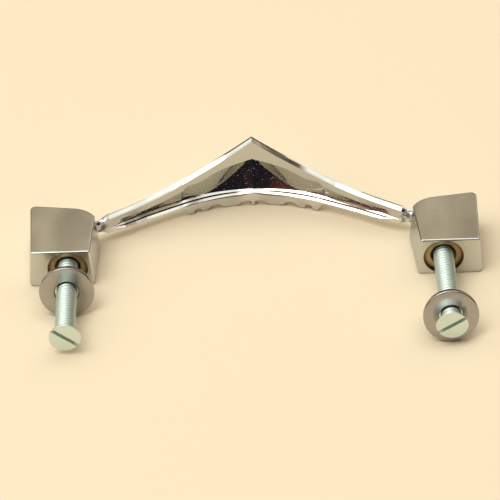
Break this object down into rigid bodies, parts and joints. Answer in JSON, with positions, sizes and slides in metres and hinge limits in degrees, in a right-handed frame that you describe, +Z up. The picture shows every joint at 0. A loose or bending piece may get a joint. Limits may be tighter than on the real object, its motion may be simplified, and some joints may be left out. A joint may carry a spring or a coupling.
{
  "type": "bridge pull handle",
  "caption": "Bridge pull for a drawer or door: bowed, crested bar with a hollow back and scalloped apron between two block feet, on loose slotted countersunk screws with flat washers",
  "frame": {"origin": "midway between the two screw axes, on the plane of the feet's mounting faces", "axes": "+X runs along the handle from one screw to the other, +Y points to the front, away from the drawer that it is screwed to, and +Z is up, square to the tops of the feet"},
  "size_m": [0.0932, 0.0525, 0.0181],
  "materials": {
    "chrome_plate": "bright chrome plate on a zinc casting, satin on the tops of the feet",
    "zinc_plate": "clear zinc plate on steel, slightly blue",
    "washer_steel": "dull plated steel, stamped"
  },
  "bodies": {
    "root": {"handle_casting": "chrome_plate", "screw_left": "zinc_plate", "screw_right": "zinc_plate", "washer_left": "washer_steel", "washer_right": "washer_steel"}
  },
  "joints": []
}
